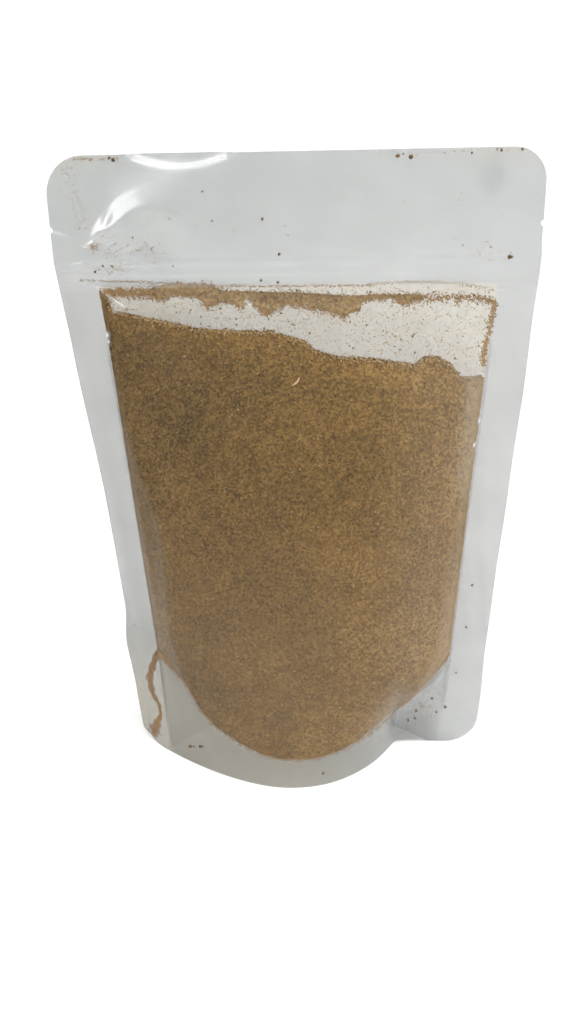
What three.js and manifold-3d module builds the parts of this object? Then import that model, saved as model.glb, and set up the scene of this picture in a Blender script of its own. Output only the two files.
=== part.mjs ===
// A clear stand-up pouch filled with powder: two film panels sealed at the sides, a press zip under the top edge
// and a folded base that the powder pushes open. Film and contents are one closed solid.
// Millimetres. The pouch stands on its bottom rim at z = 0, its front faces -Y and its side seals lie near y = 0.
import * as THREE from "three";
import { mergeVertices } from "three/addons/utils/BufferGeometryUtils.js";
import Module from "manifold-3d";

// Driving sizes
const HEIGHT = 203;
const WIDTH = 140;
const SIDE_SEAL = 11;
const SEALED_FILM = 1; // thickness of the welded rim
const TOP_RADIUS = 9;
const BOTTOM_RADIUS = 8;
const BASE_TAPER = 10.4; // what each side draws in as the base opens
const TAPER_TOP = 174;
const FILL_DEPTH = 48; // front to back, powder and film
const FILL_TOP = 162; // the two panels meet here
const TOP_LEAN = 3.4; // how far the empty top nods back
const LEAN_FROM = 160;
const NOTCH = { z: 183, radius: 1.1 };
const ZIP = { upper: 173.8, track: 170.4, lower: 166.6, half: 0.7, height: 0.45 };

// The base: a skirt under the welded arc, with the folded film above it
const BASE_BLEND = 46; // height over which the base outline becomes the filled section
const SKIRT = { middle: -6, depth: 24, back: 20, left: 51, right: 38.5 };
const FLAT_FIN_Y = 3.6; // the right-hand fin stands this far behind the centre
const SKIRT_WALL = 1.7; // measured along y
const ARC = { low: 11.3, rise: 0.0118 }; // the weld: low + rise * x * x
const BASE_SAG = 5; // how far the powder presses the fold down

const clamp = THREE.MathUtils.clamp;
const lerp = THREE.MathUtils.lerp;
const step = THREE.MathUtils.smoothstep; // (x, from, to)
const bell = (x, middle, reach) => Math.exp(-(((x - middle) / reach) ** 2));

// Half the width of the pouch at height z, without corners
function halfWidth(z) {
  return WIDTH / 2 - BASE_TAPER * clamp((TAPER_TOP - z) / TAPER_TOP, 0, 1) ** 0.85;
}

// Half the width between the side seals
function innerHalf(z) {
  return halfWidth(z) - SIDE_SEAL;
}

// Half the front-to-back depth on the centre line
function fillHalf(z) {
  const t = clamp((FILL_TOP - z) / FILL_TOP, 0, 1);
  return (FILL_DEPTH / 2) * (1 - (1 - t) ** 3.6) ** 0.95;
}

// The skirt's front edge on the floor: a bow on the left, a tighter one on the right that ends in the flat fin
function skirtFront(x) {
  const left = clamp((SKIRT.middle - x) / SKIRT.left, 0, 1);
  const right = clamp((x - SKIRT.middle) / SKIRT.right, 0, 1);
  const bow = x < SKIRT.middle ? 1 - left ** 1.75 : 1 - right ** 2.4;
  return FLAT_FIN_Y * step(x, 24, 38) - SKIRT.depth * bow;
}

// The skirt's back edge on the floor
function skirtBack(x) {
  const reach = x < SKIRT.middle ? 44 : 50;
  const bow = 1 - clamp(Math.abs(x - SKIRT.middle) / reach, 0, 1) ** 2.2;
  const seam = FLAT_FIN_Y * step(x, 24, 38) - 5.5 * (1 - step(x, -50, -20));
  return Math.max(seam + SKIRT.back * bow, skirtFront(x));
}

// The section of the filled part: a pillow, steeper beside the seals
function pillow(x, z) {
  const s = clamp(Math.abs(x) / innerHalf(z), 0, 1);
  const power = lerp(2.2, 1.9, step(z, 90, FILL_TOP));
  return (1 - s ** power) ** (1 / power);
}

// The folds that run down beside the seals
function crease(x, z) {
  const left = bell(x, -43 - 9 * step(z, 88, 128) + 7 * (1 - step(z, 20, 60)), 2.6);
  const right = bell(x, 45 + 9 * step(z, 76, 124) - 8 * (1 - step(z, 25, 58)), 2.6);
  return 0.7 * (left + right) * step(z, 20, 40) * (1 - step(z, 118, 134));
}

// The cone-shaped buckle that runs from the left end of the zip to the top edge
function buckle(x, z) {
  const dx = x + 60;
  const dz = z - 178;
  const reach = Math.hypot(dx, dz);
  return 0.055 * reach * bell(Math.atan2(dz, dx), 0.68, 0.3) * step(dz, 0, 6);
}

// The middle surface of the empty top and of the fins
function middle(x, z) {
  const lean = TOP_LEAN * clamp((z - LEAN_FROM) / (HEIGHT - LEAN_FROM), 0, 1) ** 1.3;
  const beyond = step(Math.abs(x), innerHalf(z) - 4, halfWidth(z));
  const ripple = 0.5 * beyond * Math.sin(z / 11 + x) * step(z, 30, 60) * (1 - step(z, 150, 170));
  return lean + ripple - buckle(x, z);
}

// The zip shows as three low ribs on both panels
function zipRelief(x, z) {
  const ribs = [ZIP.upper, ZIP.track, ZIP.lower].map((at) => bell(z, at, ZIP.half));
  const ends = 1 - step(Math.abs(x), halfWidth(z) - 5, halfWidth(z) - 2);
  return ZIP.height * Math.max(...ribs) * ends;
}

function frontY(x, z) {
  const filled = -fillHalf(z) * pillow(x, z);
  const body = lerp(skirtFront(x), filled, step(z, 1, BASE_BLEND));
  return middle(x, z) + body - crease(x, z) - zipRelief(x, z) - SEALED_FILM / 2;
}

function backY(x, z) {
  const filled = fillHalf(z) * pillow(x, z);
  const body = lerp(skirtBack(x), filled, step(z, 1, BASE_BLEND));
  return middle(x, z) + body + zipRelief(x, z) + SEALED_FILM / 2;
}

// A closed geometry from a grid of rows: front skin, back skin, and the edges between them
function loft(rows) {
  const across = rows[0].length;
  const front = rows.flatMap((row) => row.map(([x, y, , z]) => [x, y, z]));
  const back = rows.flatMap((row) => row.map(([x, , y, z]) => [x, y, z]));
  const index = [];
  const quad = (a, b, c, d) => index.push(a, b, c, a, c, d);
  const at = (row, column, skin) => skin * front.length + row * across + column;
  for (let r = 0; r < rows.length - 1; r++) {
    for (let c = 0; c < across - 1; c++) {
      quad(at(r, c, 0), at(r, c + 1, 0), at(r + 1, c + 1, 0), at(r + 1, c, 0));
      quad(at(r, c + 1, 1), at(r, c, 1), at(r + 1, c, 1), at(r + 1, c + 1, 1));
    }
    quad(at(r, 0, 1), at(r, 0, 0), at(r + 1, 0, 0), at(r + 1, 0, 1));
    quad(at(r, across - 1, 0), at(r, across - 1, 1), at(r + 1, across - 1, 1), at(r + 1, across - 1, 0));
  }
  for (let c = 0; c < across - 1; c++) {
    const top = rows.length - 1;
    quad(at(0, c, 1), at(0, c + 1, 1), at(0, c + 1, 0), at(0, c, 0));
    quad(at(top, c, 0), at(top, c + 1, 0), at(top, c + 1, 1), at(top, c, 1));
  }
  const geometry = new THREE.BufferGeometry();
  geometry.setAttribute("position", new THREE.Float32BufferAttribute([...front, ...back].flat(), 3));
  geometry.setIndex(index);
  return geometry;
}

// Heights from one level to another in equal steps, without the last
function levels(from, to, count) {
  return Array.from({ length: count }, (_, i) => lerp(from, to, i / count));
}

// Film and contents, wider than the outline on every side
function filledBody() {
  const heights = [
    ...levels(-1, 20, 7),
    ...levels(20, 60, 8),
    ...levels(60, 132, 9),
    ...levels(132, 164, 7),
    ...levels(164, 176, 16),
    ...levels(176, HEIGHT + 1, 8),
    HEIGHT + 1,
  ];
  const inside = Array.from({ length: 29 }, (_, i) => -Math.cos((Math.PI * i) / 28));
  const rows = heights.map((z) => {
    const edge = innerHalf(z);
    const fin = [0.5, 1, 1.25].map((part) => edge + part * SIDE_SEAL);
    const xs = [...fin.map((x) => -x).reverse(), ...inside.map((s) => s * edge), ...fin];
    return xs.map((x) => [x, frontY(x, z), backY(x, z), z]);
  });
  return loft(rows);
}

// The gap between the panels, inside a skirt wall on both sides
function skirtGap(x, z) {
  return backY(x, z) - frontY(x, z) - 2 * SKIRT_WALL;
}

// How far the gap reaches towards one side, found by halving
function reachOfGap(z, side) {
  let open = 0;
  let shut = innerHalf(z) + 2;
  for (let i = 0; i < 24; i++) {
    const half = (open + shut) / 2;
    if (skirtGap(side * half, z) > 0.6) open = half;
    else shut = half;
  }
  return side * open;
}

// The hollow under the pouch: the space inside the skirt, up to the folded base film
function underside() {
  const heights = [...levels(-2, 42, 15), 42];
  const rows = heights.map((z) => {
    const left = reachOfGap(z, -1);
    const right = reachOfGap(z, 1);
    return Array.from({ length: 25 }, (_, i) => {
      const x = lerp(left, right, (1 - Math.cos((Math.PI * i) / 24)) / 2);
      return [x, frontY(x, z) + SKIRT_WALL, backY(x, z) - SKIRT_WALL, z];
    });
  });
  return loft(rows);
}

// Everything below the folded base film, as a block with a curved top
function belowFold() {
  const deep = 32;
  const rows = levels(-deep, deep + 4, 18).map((y) => {
    return Array.from({ length: 25 }, (_, i) => {
      const x = lerp(-56, 56, i / 24);
      const sag = BASE_SAG * (1 - clamp(Math.abs(y) / 22, 0, 1) ** 2) * (1 - clamp(Math.abs(x) / 50, 0, 1) ** 2);
      return [x, -3, ARC.low + ARC.rise * x * x - sag, y];
    });
  });
  // loft() builds front and back skins across y, so the block is made lying down and then turned upright
  const block = loft(rows);
  block.applyMatrix4(new THREE.Matrix4().makeBasis(
    new THREE.Vector3(1, 0, 0), new THREE.Vector3(0, 0, 1), new THREE.Vector3(0, 1, 0)));
  block.index.array.reverse(); // the swap of y and z mirrors it
  return block;
}

// The flat outline seen from the front: tapered sides, rounded corners, and a tear notch on each side
function outline() {
  const cornerCut = (z) => {
    const top = clamp(z - (HEIGHT - TOP_RADIUS), 0, TOP_RADIUS);
    const bottom = clamp(BOTTOM_RADIUS - z, 0, BOTTOM_RADIUS);
    const sagitta = (radius, rise) => radius - Math.sqrt(radius ** 2 - rise ** 2);
    return sagitta(TOP_RADIUS, top) + sagitta(BOTTOM_RADIUS, bottom);
  };
  const notchCut = (z) => Math.sqrt(Math.max(NOTCH.radius ** 2 - (z - NOTCH.z) ** 2, 0));
  const kink = (z) => 0.9 * bell(z, 40, 9) - 0.8 * bell(z, 72, 22); // the left edge only
  const arc = (count) => Array.from({ length: count }, (_, i) => 1 - Math.cos((Math.PI / 2) * (i / count)));
  const heights = [
    ...arc(6).map((t) => t * BOTTOM_RADIUS),
    ...levels(BOTTOM_RADIUS, NOTCH.z - NOTCH.radius, 26),
    ...levels(NOTCH.z - NOTCH.radius, NOTCH.z + NOTCH.radius, 8),
    ...levels(NOTCH.z + NOTCH.radius, HEIGHT - TOP_RADIUS, 3),
    ...arc(7).reverse().map((t) => HEIGHT - t * TOP_RADIUS),
  ];
  const side = (z) => halfWidth(z) - cornerCut(z) - notchCut(z);
  const right = heights.map((z) => new THREE.Vector2(side(z), z));
  const left = heights.map((z) => new THREE.Vector2(-side(z) - kink(z), z)).reverse();
  const flat = new THREE.ExtrudeGeometry(new THREE.Shape([...right, ...left]), { depth: 90, bevelEnabled: false });
  return flat.rotateX(Math.PI / 2).translate(0, 45, 0);
}

const wasm = await Module();
wasm.setup();

function toManifold(geometry) {
  const bare = geometry.clone();
  bare.deleteAttribute("normal");
  bare.deleteAttribute("uv");
  const welded = mergeVertices(bare, 1e-5);
  return new wasm.Manifold(new wasm.Mesh({
    numProp: 3,
    vertProperties: new Float32Array(welded.attributes.position.array),
    triVerts: new Uint32Array(welded.index.array),
  }));
}

function toGeometry(solid) {
  const mesh = solid.getMesh();
  const geometry = new THREE.BufferGeometry();
  geometry.setAttribute("position", new THREE.BufferAttribute(mesh.vertProperties, 3));
  geometry.setIndex(new THREE.BufferAttribute(mesh.triVerts, 1));
  geometry.computeVertexNormals();
  return geometry;
}

function pouch() {
  const cut = toManifold(filledBody()).intersect(toManifold(outline()));
  const hollow = toManifold(underside()).intersect(toManifold(belowFold()));
  const material = new THREE.MeshStandardMaterial({ color: 0x836c4c, roughness: 0.35, metalness: 0 });
  const mesh = new THREE.Mesh(toGeometry(cut.subtract(hollow)), material);
  mesh.name = "pouch";
  return mesh;
}

const part = new THREE.Group();
part.add(pouch());

export default part;
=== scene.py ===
# A clear stand-up pouch of coarse prawn powder. Film, zip, powder and loose grains take the place of the
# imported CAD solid. The script follows the pouch as it is made and filled: panels, base film, zip, powder,
# grains, caught powder and dust. The floor, the light and the camera come last.
import math

import bpy
import numpy as np
from mathutils import Matrix, Vector


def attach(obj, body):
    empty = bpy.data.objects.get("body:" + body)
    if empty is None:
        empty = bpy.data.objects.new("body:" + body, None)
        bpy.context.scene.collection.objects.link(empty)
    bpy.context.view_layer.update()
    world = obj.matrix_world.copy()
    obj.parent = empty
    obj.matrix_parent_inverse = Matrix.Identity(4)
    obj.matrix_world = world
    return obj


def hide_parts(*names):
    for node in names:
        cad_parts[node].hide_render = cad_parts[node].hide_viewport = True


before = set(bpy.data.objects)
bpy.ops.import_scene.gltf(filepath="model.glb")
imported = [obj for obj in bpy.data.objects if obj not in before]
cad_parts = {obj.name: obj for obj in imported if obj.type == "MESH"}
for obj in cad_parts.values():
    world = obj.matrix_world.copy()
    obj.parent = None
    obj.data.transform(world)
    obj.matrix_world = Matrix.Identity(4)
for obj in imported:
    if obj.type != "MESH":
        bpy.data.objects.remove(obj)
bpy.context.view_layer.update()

# ------------------------------------------------
# Front and back panels: two sheets of clear laminate, welded together down both sides. The powder bows them
# out below the zip, and above it they lie flat together, with a buckle at the left. Each is a grid laid on
# the pouch's form and given the film's thickness. All sizes here are in millimetres.
MM = 0.001
HEIGHT = 203
WIDTH = 140
SIDE_SEAL = 11
TOP_RADII = {-1: 11, 1: 9}  # left and right
BOTTOM_RADII = {-1: 8, 1: 11}
BASE_TAPER = 10.4  # what each side draws in as the base opens
TAPER_TOP = 174
FILL_DEPTH = 48
FILL_TOP = 162  # the two panels meet here
TOP_LEAN = 3.4
LEAN_FROM = 160
SKIRT_TOP = 46  # here the bowed skirt has passed into the filled part
BOW_MIDDLE = -6
FRONT_BOW, FRONT_LEFT, FRONT_RIGHT = 24, 51, 38.5  # how far the skirt bows out, and its reach to each side
BACK_BOW, BACK_LEFT, BACK_RIGHT = 20, 44, 50
NOTCH_Z, NOTCH_RADIUS = 183, 0.75
BUCKLE_FOOT = (-60.2, 178.6)
BUCKLE_HEADING, BUCKLE_BEND = 1.12, 0.0216  # radians, and radians for each millimetre
BUCKLE_SLOPE = 0.31
DISH_MIDDLE = -31.7
ZIP_TOP, ZIP_TRACK, ZIP_FOOT = 173.8, 170.4, 166.6
FILM = 0.12  # thickness of one sheet
RIM_HALF = 0.16  # half the thickness of the welded rim


def ramp(x, low, high):
    """0 below low, 1 above high, smooth between."""
    t = np.clip((x - low) / (high - low), 0, 1)
    return t * t * (3 - 2 * t)


def bell(x, middle, reach):
    return np.exp(-(((x - middle) / reach) ** 2))


def half_width(z):
    """Half the width of the pouch, which narrows towards its base."""
    return WIDTH / 2 - BASE_TAPER * np.clip((TAPER_TOP - z) / TAPER_TOP, 0, 1) ** 0.85


def inner_half(z):
    """Half the width between the side seals."""
    return half_width(z) - SIDE_SEAL


def fill_half(z):
    """Half the depth of the filled part at its middle."""
    return FILL_DEPTH / 2 * (1 - (1 - np.clip((FILL_TOP - z) / FILL_TOP, 0, 1)) ** 3.6) ** 0.95


def fin_shift(x):
    """How much further back the skirt's right end lies, where it is a flat fin."""
    return 2.2 * ramp(x, 24, 38)


def skirt_front(x):
    """The front edge that the pouch stands on: a wide bow at the left and a tight one at the right."""
    left = np.clip((BOW_MIDDLE - x) / FRONT_LEFT, 0, 1)
    right = np.clip((x - BOW_MIDDLE) / FRONT_RIGHT, 0, 1)
    return fin_shift(x) - FRONT_BOW * np.where(x < BOW_MIDDLE, 1 - left**1.65, 1 - right**2.4)


def skirt_back(x):
    """The back edge: bowed the other way, and nowhere in front of the front one."""
    reach = np.where(x < BOW_MIDDLE, BACK_LEFT, BACK_RIGHT)
    bow = 1 - np.clip(np.abs(x - BOW_MIDDLE) / reach, 0, 1) ** 2.2
    seam = fin_shift(x) - 5.5 * (1 - ramp(x, -50, -20))
    return np.maximum(seam + BACK_BOW * bow, skirt_front(x))


def pillow(x, z):
    """The section of the filled part, steeper beside the seals."""
    s = np.clip(np.abs(x) / inner_half(z), 0, 1)
    power = 2.2 - 0.3 * ramp(z, 90, FILL_TOP)
    return (1 - s**power) ** (1 / power)


def left_fold(z):
    return -43 - 9 * ramp(z, 88, 128) + 7 * (1 - ramp(z, 20, 60))


def right_fold(z):
    return 45 + 9 * ramp(z, 76, 124) - 8 * (1 - ramp(z, 25, 58))


def ridge(x, fold):
    """A fold, soft on the outside and sharp at its ridge."""
    return 0.75 * bell(x, fold, 2.6) + 0.25 * bell(x, fold, 0.9)


def crease(x, z):
    """The folds that run down beside the seals of the front panel."""
    folds = ridge(x, left_fold(z)) + ridge(x, right_fold(z))
    return 0.7 * folds * ramp(z, 20, 40) * (1 - ramp(z, 118, 134))


def back_folds(x, z):
    """The two softer folds of the back panel."""
    folds = 0.6 * bell(x, 44 + 6 * ramp(z, 80, 130), 2.4) + 0.6 * bell(x, -46 - 4 * ramp(z, 70, 120), 2.2)
    return folds * ramp(z, 30, 50) * (1 - ramp(z, 115, 130))


def soft(x):
    """x above 0 and 0 below it, with a rounded corner."""
    return 0.5 * (x + np.sqrt(x * x + 0.0025))


def buckle(x, z):
    """The cone from the zip's left end up to the top edge. Its left flank is flat and widens as it rises,
    its right one falls off gently, and a small dent lies beside it."""
    dx, dz = x - BUCKLE_FOOT[0], z - BUCKLE_FOOT[1]
    reach, turn = np.hypot(dx, dz), np.arctan2(dz, dx)
    t = turn - BUCKLE_HEADING + BUCKLE_BEND * reach
    flank = 0.12 + 0.18 * bell(reach, 9, 6)
    section = soft(0.14 - t) - 1.45 * soft(-flank - t) + 0.45 * soft(-(0.14 + 1.45 * flank) / 0.45 - t)
    right, up = x + 53.6, z - 186
    dent = bell(0.5 * right + 0.87 * up, 0, 2.8) * bell(0.87 * right - 0.5 * up, 0, 1.1)
    return BUCKLE_SLOPE * reach * (1 - ramp(reach, 20, 36)) * section - 0.32 * dent


def pocket(x, z):
    """The gap that the caught powder holds open between the panels under the zip."""
    window = 1 - ramp(np.abs(x), inner_half(z) - 2, inner_half(z))
    return 0.34 * ramp(z, 156, 161) * (1 - ramp(z, 168.5, 170)) * window


def middle(x, z):
    """Halfway between the panels, which lean back at the top, ripple along the seals and buckle."""
    lean = TOP_LEAN * np.clip((z - LEAN_FROM) / (HEIGHT - LEAN_FROM), 0, 1) ** 1.3
    beyond = ramp(np.abs(x), inner_half(z) - 4, half_width(z))
    ripple = 0.5 * beyond * np.sin(z / 11 + x) * ramp(z, 30, 60) * (1 - ramp(z, 150, 170))
    return lean + ripple - buckle(x, z)


def body_y(x, z, skirt, side):
    """The bowed skirt and the filled part above it. side is -1 for the front and 1 for the back."""
    blend = ramp(z, 1, SKIRT_TOP)
    return skirt * (1 - blend) + side * fill_half(z) * pillow(x, z) * blend


def zip_relief(x, z):
    """The film stands a little proud over the zip's two edges and its track."""
    ribs = 0.25 * bell(z, ZIP_TOP, 0.5) + 0.3 * bell(z, ZIP_TRACK, 0.8) + 0.2 * bell(z, ZIP_FOOT, 0.5)
    return ribs * (1 - ramp(np.abs(x), half_width(z) - 5, half_width(z) - 2))


def lip(x, z):
    """How far the top edge curls back in a shallow dish, left of the middle, over a curved lower border."""
    aside = x - DISH_MIDDLE
    low = 198.1 + 0.0155 * aside**2
    return 1.85 * ramp(z, low - 0.6, low + 3.6) * (1 - ramp(np.abs(aside), 12, 18))


def torn_line(x, z):
    """The line of stretched film that runs in from the left tear notch."""
    return bell(z + 0.25 * (x + 70), 182.7, 0.4)


def pucker(x, z):
    """A crease across the window's upper left corner, a dimple under the zip, and the torn line."""
    right, up = x + 54.5, z - 164.2
    corner = 0.2 * bell(right * 0.59 + up * 0.81, 0, 0.55) * bell(right * 0.81 - up * 0.59, 0, 4.2)
    dimple = 0.5 * bell(np.hypot(x + 13.7, z - 161.9), 0, 1.3)
    return corner + dimple + 0.3 * torn_line(x, z) * (1 - ramp(x, -69, -63))


def flutter(x, z):
    """Faint waves in the flat top of both panels."""
    return 0.12 * np.sin(x / 4.1 + z / 9) * np.sin(z / 6.3 - x / 17) * ramp(z, 166, 176)


def front_y(x, z):
    """The outer face of the front panel."""
    y = middle(x, z) + body_y(x, z, skirt_front(x), -1) - crease(x, z) - zip_relief(x, z)
    return y + lip(x, z) - pucker(x, z) - pocket(x, z) + flutter(x, z) - RIM_HALF


def back_y(x, z):
    """The outer face of the back panel."""
    y = middle(x, z) + body_y(x, z, skirt_back(x), 1) + back_folds(x, z) + zip_relief(x, z)
    return y + lip(x, z) + pocket(x, z) + flutter(x, z) + RIM_HALF


def corner_cut(z, side):
    """What the rounded corners of one side take off the width."""
    high, low = TOP_RADII[side], BOTTOM_RADII[side]
    top = np.clip(z - (HEIGHT - high), 0, high)
    bottom = np.clip(low - z, 0, low)
    return high - np.sqrt(high**2 - top**2) + low - np.sqrt(low**2 - bottom**2)


def outer_edge(z, side):
    """How far the panel reaches to the left (-1) or the right (1): tapered and a little uneven, with rounded
    corners and a tear notch."""
    notch = np.sqrt(np.clip(NOTCH_RADIUS**2 - (z - NOTCH_Z) ** 2, 0, None))
    if side < 0:
        drawn_in = 1.6 * ramp(z, 42, 58) * (1 - ramp(z, 96, 146)) + 0.6 * (1 - ramp(z, 24, 44))
        sway = 0.45 * ramp(z, 150, 175) - drawn_in
    else:
        sway = 0.7 * (1 - ramp(z, 130, 165)) + 1 - ramp(z, 18, 44) - 0.5 * ramp(z, 168, 180)
    return half_width(z) - corner_cut(z, side) - notch + sway


def edge_beside(x, z):
    """How far the panel reaches on the side where x lies."""
    return np.where(x < 0, outer_edge(z, -1), outer_edge(z, 1))


def select_only(*pieces):
    """Selects these pieces and nothing else, and makes the first of them active."""
    for other in list(bpy.context.selected_objects):
        other.select_set(False)
    for piece in pieces:
        piece.select_set(True)
        bpy.context.view_layer.objects.active = pieces[0]


def corners(piece):
    """The vertices of a piece as an array, in millimetres."""
    flat = np.empty(len(piece.data.vertices) * 3)
    piece.data.vertices.foreach_get("co", flat)
    return flat.reshape(-1, 3) / MM


def set_corners(piece, places):
    piece.data.vertices.foreach_set("co", (np.asarray(places) * MM).ravel())
    piece.data.update()


def laid_grid(name, columns, rows, place):
    """A grid whose u and v run from 0 to 1 and whose vertices are laid at place(u, v), in millimetres."""
    select_only()
    bpy.ops.mesh.primitive_grid_add(x_subdivisions=columns, y_subdivisions=rows, size=2)
    piece = bpy.context.object
    piece.name = piece.data.name = name
    flat = corners(piece) * MM  # from -1 to 1
    set_corners(piece, np.stack(place((flat[:, 0] + 1) / 2, (flat[:, 1] + 1) / 2), axis=1))
    return piece


def edited(piece, *steps):
    """Runs edit mode operators on the whole of a piece."""
    select_only(piece)
    bpy.ops.object.mode_set(mode="EDIT")
    bpy.ops.mesh.select_all(action="SELECT")
    for step in steps:
        step()
    bpy.ops.object.mode_set(mode="OBJECT")


def applied(piece, kind, **settings):
    """Adds a modifier, sets it and applies it."""
    select_only(piece)
    modifier = piece.modifiers.new(kind.title(), kind)
    for key, value in settings.items():
        setattr(modifier, key, value)
    bpy.ops.object.modifier_apply(modifier=modifier.name)


def smoothed(piece, degrees=40):
    """Shades a piece smooth, but for edges sharper than this."""
    select_only(piece)
    bpy.ops.object.shade_smooth_by_angle(angle=math.radians(degrees))


def paint(piece, name, values):
    """Stores one number, or three, for each vertex, for the material to read."""
    values = np.asarray(values, dtype=float)
    if values.ndim == 1:
        piece.data.attributes.new(name, "FLOAT", "POINT").data.foreach_set("value", values)
    else:
        layer = piece.data.attributes.new(name, "FLOAT_VECTOR", "POINT")
        layer.data.foreach_set("vector", values.ravel())


PANEL_COLUMNS, PANEL_ROWS = 168, 250
FIN_SHARE = 0.1  # the share of the columns at each side that lie on the flat weld
FIN_PART = 0.3  # how much of the side seal those columns cover at least
ROW_MARKS = [0, 0.03, 0.1, 0.4, 0.52, 0.76, 0.84, 0.88, 0.97, 1]
ROW_HEIGHTS = [0, 2, 14, 116, 148, 176, 181.5, 184.5, 201, HEIGHT]  # closer at corners, notches and zip


def packed(s):
    """Columns from -1 to 1, packed where the film turns into the seals."""
    return 0.6 * np.sin(s * math.pi / 2) + 0.4 * s


def panel(name, face_y, side):
    """One panel. The back one, whose side is -1, is laid the other way round, so that it faces outwards."""
    def place(u, v):
        z = np.interp(v, ROW_MARKS, ROW_HEIGHTS)
        s = 2 * u - 1
        edge = edge_beside(side * s, z)
        reach = np.minimum(inner_half(z), edge - FIN_PART * SIDE_SEAL)
        fin = (np.abs(s) - (1 - FIN_SHARE)) / FIN_SHARE
        bowed = packed(np.clip(s / (1 - FIN_SHARE), -1, 1)) * reach
        x = side * np.where(fin > 0, np.sign(s) * (reach + fin * (edge - reach)), bowed)
        return x, face_y(x, z), z
    piece = laid_grid(name, PANEL_COLUMNS, PANEL_ROWS, place)
    applied(piece, "SOLIDIFY", thickness=FILM * MM, offset=-1)
    smoothed(piece)
    return piece


# places on the front panel, x and z: the top of the powder, and the band and strand of caught powder
HEAP_LINE = [
    (-58.4, 166), (-54.9, 163.4), (-54.2, 159.8), (-46, 158.3), (-38, 157), (-29, 155.1), (-20, 154.6),
    (-7, 154.3), (-1, 152.7), (2.8, 151.6), (5.7, 149.2), (12.4, 147.5), (22, 146.8), (32, 145.2),
    (34.7, 144.6), (37.6, 146.6), (41.4, 146.7), (45.3, 144.3), (48.4, 140.1), (57, 138.6)]
BAND_TOP = [
    (-58.3, 166), (-48, 166.4), (-34, 167.5), (-25, 167.3), (-21, 165.4), (1, 164.7), (14, 163.7),
    (28, 164), (40, 163.6), (53, 163.1), (58, 162)]
BAND_LOW = [
    (-58, 164), (-50, 164.4), (-41, 163.3), (-39, 162.8), (-35.6, 164.4), (-29, 164), (-25.7, 160.7),
    (-22.8, 162), (-18, 162), (-16.6, 160.3), (-13.4, 162), (-8.6, 158.7), (-2.5, 161.4), (4.8, 160.3),
    (10.9, 159.1), (14.4, 157.5), (15.8, 159.2), (18.1, 159.1), (19.6, 162.1), (27.6, 163), (31.1, 160.7),
    (34, 161.8), (39.7, 162.4), (45, 162.9), (46.6, 161.3), (48, 162.6), (52, 162.4), (57.7, 160.8)]
# the strand has its width as a third number
STRAND = [
    (-47.2, 44.8, 2.2), (-50.4, 40.5, 2), (-53, 34.5, 2.4), (-55, 28, 2.8), (-54.3, 21.8, 2.3),
    (-51.9, 17.8, 1.4), (-51.6, 14, 1.4), (-53, 10.4, 2.6), (-55, 5.4, 4.8), (-56.4, 2.6, 3.2)]
FOOT_LINE = [
    (-52, 44), (-47, 42), (-42.3, 39.4), (-38.6, 36), (-36.4, 31), (-34.6, 26.5), (-29.6, 20.4),
    (-21, 15.6), (-13.4, 12.9), (-5.6, 11.7), (4.6, 11.8), (14.7, 13.3), (23.3, 15.2), (31.8, 19.6),
    (36.2, 27), (39.6, 34.5), (44.8, 40.5), (50, 43.5), (52, 44)]
HEAP_DROP = 9  # how much lower the heap lies at the back


def heap_line(x):
    """The uneven top of the powder against the front panel, as a height for each x."""
    xs, zs = zip(*HEAP_LINE)
    return np.interp(x, xs, zs)


def heap_back(x):
    """The top of the powder against the back panel, where the heap lies lower."""
    s = np.clip(np.abs(x) / 56, 0, 1)
    return heap_line(x) - (HEAP_DROP + 1.2 * np.sin(x / 7.5)) * (1 - s**6)


def foot_line(x):
    """The bottom of the powder against the panels: the weld of the base film, pinched at the corners."""
    xs, zs = zip(*FOOT_LINE)
    return np.interp(x, xs, zs)


def on_stroke(x, z, start, end, reach):
    """1 on the line from start to end, fading within reach of it."""
    run = np.subtract(end, start)
    share = np.clip(((x - start[0]) * run[0] + (z - start[1]) * run[1]) / run.dot(run), 0, 1)
    return bell(np.hypot(x - start[0] - share * run[0], z - start[1] - share * run[1]), 0, reach)


# start and end of each painted white line, with its reach and strength. Most are painted highlights: on
# the buckle and the dish in the top edge, at the zip's ends and along its edges, and a glint on a dimple.
# At the window's upper left corner they are a crease, partly whitened film and partly painted highlight.
WHITENED_AND_HIGHLIGHTS = [
    ((-60.8, 178.4), (-58.4, 180), 0.45, 0.9), ((-58, 166.7), (-50.9, 161.5), 0.28, 0.8),
    ((-65.5, 173.5), (-61.2, 174.2), 0.26, 0.6), ((-61, 174.3), (-45, 174.6), 0.16, 0.28),
    ((57, 165), (61.8, 164.5), 0.26, 0.6), ((-58, 166.9), (-55.4, 166.4), 0.28, 0.6),
    ((-48, 192.5), (-34, 199), 5.5, 0.33), ((-45, 201.4), (-38, 199.4), 0.5, 0.5),
    ((-38, 199.4), (-25.5, 199.4), 0.6, 0.5), ((-25.5, 199.4), (-18.5, 201.4), 0.5, 0.5),
    ((-14.2, 162.3), (-13.2, 161.5), 0.7, 0.7), ((26, 174), (45, 173.8), 0.4, 0.12),
    ((53, 173.7), (60, 173.5), 0.35, 0.14)]
# x, z and reach of each white spot painted at the powder's edge; the two at the right are painted highlights
WHITE_SPOTS = [(-56.5, 152.8, 0.7), (-56.3, 150.9, 0.5), (54.9, 126.1, 0.6), (53.6, 119.1, 0.5)]
FRONT_MILK, BACK_MILK = (0.25, 0.45), (1.25, 1.55)  # on the window, then on the welds and the top


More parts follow.
